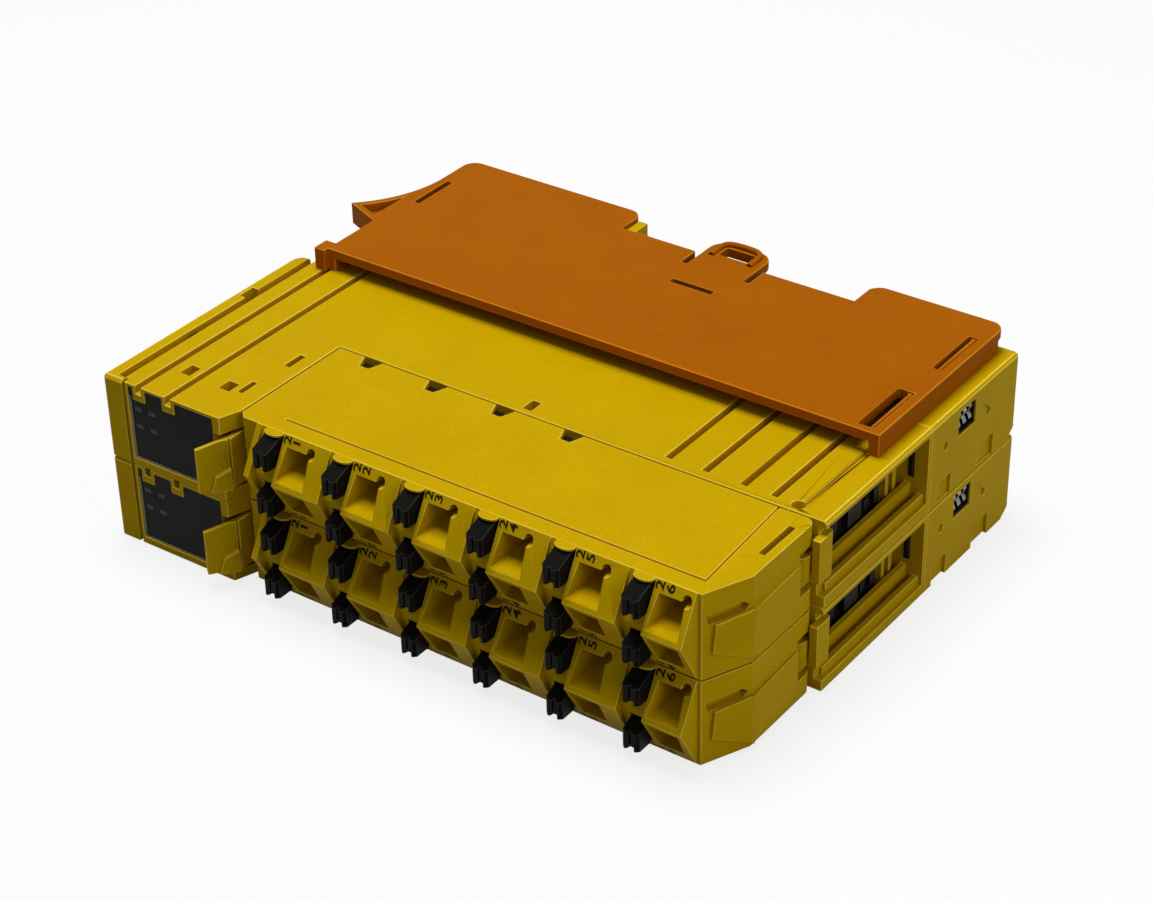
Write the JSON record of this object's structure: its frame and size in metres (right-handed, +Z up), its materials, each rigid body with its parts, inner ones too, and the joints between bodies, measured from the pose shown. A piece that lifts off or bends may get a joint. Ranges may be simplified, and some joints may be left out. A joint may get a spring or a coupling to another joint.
{
  "type": "safety controller module",
  "caption": "Flat rail-mounted safety controller module with spring-clamp terminal blocks, release levers, status panels and an orange locking plate.",
  "frame": {"origin": "middle of the bounding box at its lowest level, where the module lies on its flat side", "axes": "+X along the module's height towards the hinge and vent end, -Y out of the terminal front, +Y out of the mounting rail side, +Z up through the stacked slices"},
  "size_m": [0.0958, 0.0738, 0.0282],
  "materials": {
    "yellow_plastic": "fine-textured moulded safety yellow",
    "orange_plastic": "fine-textured moulded orange",
    "black_plastic": "moulded black",
    "panel_black": "smooth satin black",
    "smoked_plastic": "smoked light guide",
    "board_green": "solder mask",
    "component_black": "moulded component bodies",
    "spring_steel": "bright spring steel",
    "contact_brass": "tinned brass"
  },
  "bodies": {
    "module": {"locking_plate": "orange_plastic", "lower_board_components": "component_black", "lower_bus_contacts": "spring_steel", "lower_bus_module": "yellow_plastic", "lower_circuit_board": "board_green", "lower_contact_pins": "contact_brass", "lower_electronics_housing": "yellow_plastic", "lower_light_guide": "smoked_plastic", "lower_status_panel": "panel_black", "upper_board_components": "component_black", "upper_bus_contacts": "spring_steel", "upper_bus_module": "yellow_plastic", "upper_circuit_board": "board_green", "upper_contact_pins": "contact_brass", "upper_electronics_housing": "yellow_plastic", "upper_light_guide": "smoked_plastic", "upper_status_panel": "panel_black"},
    "lower_block": {"lower_terminal_block": "yellow_plastic", "lower_clamp_springs": "spring_steel"},
    "lower_lock_lever": {"lower_terminal_lock_lever": "yellow_plastic"},
    "lower_rail_lock": {"lower_rail_lock_bar": "black_plastic"},
    "lower_release_lever_a1": {"lower_release_lever_a1": "black_plastic"},
    "lower_release_lever_a2": {"lower_release_lever_a2": "black_plastic"},
    "lower_release_lever_a3": {"lower_release_lever_a3": "black_plastic"},
    "lower_release_lever_a4": {"lower_release_lever_a4": "black_plastic"},
    "lower_release_lever_a5": {"lower_release_lever_a5": "black_plastic"},
    "lower_release_lever_a6": {"lower_release_lever_a6": "black_plastic"},
    "lower_release_lever_b1": {"lower_release_lever_b1": "black_plastic"},
    "lower_release_lever_b2": {"lower_release_lever_b2": "black_plastic"},
    "lower_release_lever_b3": {"lower_release_lever_b3": "black_plastic"},
    "lower_release_lever_b4": {"lower_release_lever_b4": "black_plastic"},
    "lower_release_lever_b5": {"lower_release_lever_b5": "black_plastic"},
    "lower_release_lever_b6": {"lower_release_lever_b6": "black_plastic"},
    "upper_block": {"upper_terminal_block": "yellow_plastic", "upper_clamp_springs": "spring_steel"},
    "upper_lock_lever": {"upper_terminal_lock_lever": "yellow_plastic"},
    "upper_rail_lock": {"upper_rail_lock_bar": "black_plastic"},
    "upper_release_lever_a1": {"upper_release_lever_a1": "black_plastic"},
    "upper_release_lever_a2": {"upper_release_lever_a2": "black_plastic"},
    "upper_release_lever_a3": {"upper_release_lever_a3": "black_plastic"},
    "upper_release_lever_a4": {"upper_release_lever_a4": "black_plastic"},
    "upper_release_lever_a5": {"upper_release_lever_a5": "black_plastic"},
    "upper_release_lever_a6": {"upper_release_lever_a6": "black_plastic"},
    "upper_release_lever_b1": {"upper_release_lever_b1": "black_plastic"},
    "upper_release_lever_b2": {"upper_release_lever_b2": "black_plastic"},
    "upper_release_lever_b3": {"upper_release_lever_b3": "black_plastic"},
    "upper_release_lever_b4": {"upper_release_lever_b4": "black_plastic"},
    "upper_release_lever_b5": {"upper_release_lever_b5": "black_plastic"},
    "upper_release_lever_b6": {"upper_release_lever_b6": "black_plastic"}
  },
  "joints": [
    {"name": "lower_block_swing", "type": "hinge", "parent": "module", "child": "lower_block", "pos_m": [0.0451, -0.0129, 0.0062], "axis": [0, 0, 1], "range_deg": [0, 25]},
    {"name": "lower_lock_press", "type": "hinge", "parent": "lower_block", "child": "lower_lock_lever", "pos_m": [-0.02715, -0.0272, 0.0062], "axis": [0, 0, 1], "range_deg": [-4, 0], "stiffness_Nm_per_rad": 0.02},
    {"name": "lower_rail_lock_pull", "type": "slide", "parent": "module", "child": "lower_rail_lock", "axis": [-1, 0, 0], "range_m": [0, 0.0024], "stiffness_N_per_m": 300},
    {"name": "lower_release_a1", "type": "slide", "parent": "lower_block", "child": "lower_release_lever_a1", "axis": [0, 1, 0], "range_m": [0, 0.0012], "stiffness_N_per_m": 500},
    {"name": "lower_release_a2", "type": "slide", "parent": "lower_block", "child": "lower_release_lever_a2", "axis": [0, 1, 0], "range_m": [0, 0.0012], "stiffness_N_per_m": 500},
    {"name": "lower_release_a3", "type": "slide", "parent": "lower_block", "child": "lower_release_lever_a3", "axis": [0, 1, 0], "range_m": [0, 0.0012], "stiffness_N_per_m": 500},
    {"name": "lower_release_a4", "type": "slide", "parent": "lower_block", "child": "lower_release_lever_a4", "axis": [0, 1, 0], "range_m": [0, 0.0012], "stiffness_N_per_m": 500},
    {"name": "lower_release_a5", "type": "slide", "parent": "lower_block", "child": "lower_release_lever_a5", "axis": [0, 1, 0], "range_m": [0, 0.0012], "stiffness_N_per_m": 500},
    {"name": "lower_release_a6", "type": "slide", "parent": "lower_block", "child": "lower_release_lever_a6", "axis": [0, 1, 0], "range_m": [0, 0.0012], "stiffness_N_per_m": 500},
    {"name": "lower_release_b1", "type": "slide", "parent": "lower_block", "child": "lower_release_lever_b1", "axis": [0, 1, 0], "range_m": [0, 0.0012], "stiffness_N_per_m": 500},
    {"name": "lower_release_b2", "type": "slide", "parent": "lower_block", "child": "lower_release_lever_b2", "axis": [0, 1, 0], "range_m": [0, 0.0012], "stiffness_N_per_m": 500},
    {"name": "lower_release_b3", "type": "slide", "parent": "lower_block", "child": "lower_release_lever_b3", "axis": [0, 1, 0], "range_m": [0, 0.0012], "stiffness_N_per_m": 500},
    {"name": "lower_release_b4", "type": "slide", "parent": "lower_block", "child": "lower_release_lever_b4", "axis": [0, 1, 0], "range_m": [0, 0.0012], "stiffness_N_per_m": 500},
    {"name": "lower_release_b5", "type": "slide", "parent": "lower_block", "child": "lower_release_lever_b5", "axis": [0, 1, 0], "range_m": [0, 0.0012], "stiffness_N_per_m": 500},
    {"name": "lower_release_b6", "type": "slide", "parent": "lower_block", "child": "lower_release_lever_b6", "axis": [0, 1, 0], "range_m": [0, 0.0012], "stiffness_N_per_m": 500},
    {"name": "upper_block_swing", "type": "hinge", "parent": "module", "child": "upper_block", "pos_m": [0.0451, -0.0129, 0.0187], "axis": [0, 0, 1], "range_deg": [0, 25]},
    {"name": "upper_lock_press", "type": "hinge", "parent": "upper_block", "child": "upper_lock_lever", "pos_m": [-0.02715, -0.0272, 0.0187], "axis": [0, 0, 1], "range_deg": [-4, 0], "stiffness_Nm_per_rad": 0.02},
    {"name": "upper_rail_lock_pull", "type": "slide", "parent": "module", "child": "upper_rail_lock", "axis": [-1, 0, 0], "range_m": [0, 0.0024], "stiffness_N_per_m": 300},
    {"name": "upper_release_a1", "type": "slide", "parent": "upper_block", "child": "upper_release_lever_a1", "axis": [0, 1, 0], "range_m": [0, 0.0012], "stiffness_N_per_m": 500},
    {"name": "upper_release_a2", "type": "slide", "parent": "upper_block", "child": "upper_release_lever_a2", "axis": [0, 1, 0], "range_m": [0, 0.0012], "stiffness_N_per_m": 500},
    {"name": "upper_release_a3", "type": "slide", "parent": "upper_block", "child": "upper_release_lever_a3", "axis": [0, 1, 0], "range_m": [0, 0.0012], "stiffness_N_per_m": 500},
    {"name": "upper_release_a4", "type": "slide", "parent": "upper_block", "child": "upper_release_lever_a4", "axis": [0, 1, 0], "range_m": [0, 0.0012], "stiffness_N_per_m": 500},
    {"name": "upper_release_a5", "type": "slide", "parent": "upper_block", "child": "upper_release_lever_a5", "axis": [0, 1, 0], "range_m": [0, 0.0012], "stiffness_N_per_m": 500},
    {"name": "upper_release_a6", "type": "slide", "parent": "upper_block", "child": "upper_release_lever_a6", "axis": [0, 1, 0], "range_m": [0, 0.0012], "stiffness_N_per_m": 500},
    {"name": "upper_release_b1", "type": "slide", "parent": "upper_block", "child": "upper_release_lever_b1", "axis": [0, 1, 0], "range_m": [0, 0.0012], "stiffness_N_per_m": 500},
    {"name": "upper_release_b2", "type": "slide", "parent": "upper_block", "child": "upper_release_lever_b2", "axis": [0, 1, 0], "range_m": [0, 0.0012], "stiffness_N_per_m": 500},
    {"name": "upper_release_b3", "type": "slide", "parent": "upper_block", "child": "upper_release_lever_b3", "axis": [0, 1, 0], "range_m": [0, 0.0012], "stiffness_N_per_m": 500},
    {"name": "upper_release_b4", "type": "slide", "parent": "upper_block", "child": "upper_release_lever_b4", "axis": [0, 1, 0], "range_m": [0, 0.0012], "stiffness_N_per_m": 500},
    {"name": "upper_release_b5", "type": "slide", "parent": "upper_block", "child": "upper_release_lever_b5", "axis": [0, 1, 0], "range_m": [0, 0.0012], "stiffness_N_per_m": 500},
    {"name": "upper_release_b6", "type": "slide", "parent": "upper_block", "child": "upper_release_lever_b6", "axis": [0, 1, 0], "range_m": [0, 0.0012], "stiffness_N_per_m": 500}
  ]
}
